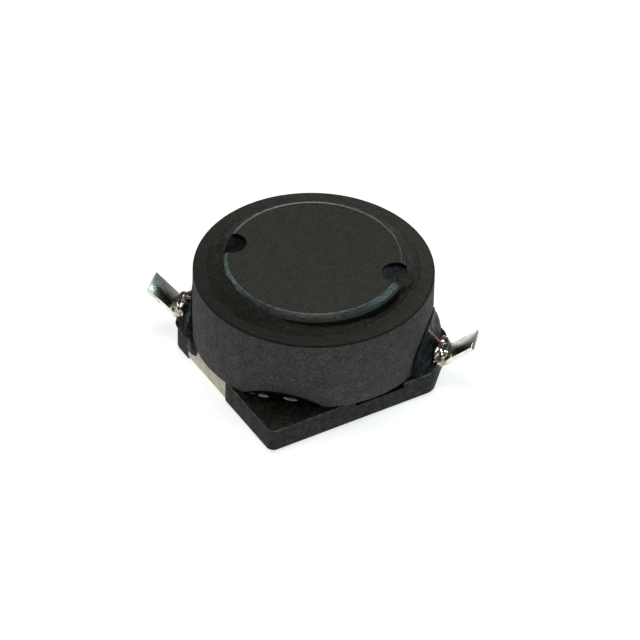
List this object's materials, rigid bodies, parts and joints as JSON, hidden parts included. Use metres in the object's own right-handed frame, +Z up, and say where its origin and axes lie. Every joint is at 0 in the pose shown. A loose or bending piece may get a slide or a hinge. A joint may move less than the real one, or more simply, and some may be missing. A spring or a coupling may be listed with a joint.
{
  "type": "shielded power inductor",
  "caption": "Surface-mount power inductor: a wire-wound ferrite drum core in a round ferrite shield ring on a moulded square base, with solder pads beneath and soldering wings at the corners.",
  "frame": {"origin": "middle of the footprint on the plane of the board, under the base", "axes": "+Z up out of the board along the core's axis; the base's sides run along X and Y, and the wings point to (-X, +Y) and (+X, -Y)"},
  "size_m": [0.013, 0.013, 0.006],
  "materials": {
    "moulding": "satin black moulded plastic with a fine grain",
    "ferrite_shield": "matte ground ferrite, charcoal grey",
    "ferrite_core": "matte pressed ferrite, warm charcoal",
    "enamelled_wire": "copper under clear amber enamel",
    "tinned_strip": "satin tin plate",
    "solder": "bright tin solder",
    "epoxy": "glossy black epoxy"
  },
  "bodies": {
    "root": {"base": "moulding", "shield_ring": "ferrite_shield", "drum_core": "ferrite_core", "winding": "enamelled_wire", "lead_left": "enamelled_wire", "lead_right": "enamelled_wire", "terminal_left": "tinned_strip", "terminal_right": "tinned_strip", "solder_left": "solder", "solder_right": "solder", "lead_adhesive_left": "epoxy", "lead_adhesive_right": "epoxy", "corner_adhesive_near": "epoxy", "corner_adhesive_far": "epoxy", "gap_adhesive": "epoxy", "seat_adhesive": "epoxy"}
  },
  "joints": []
}
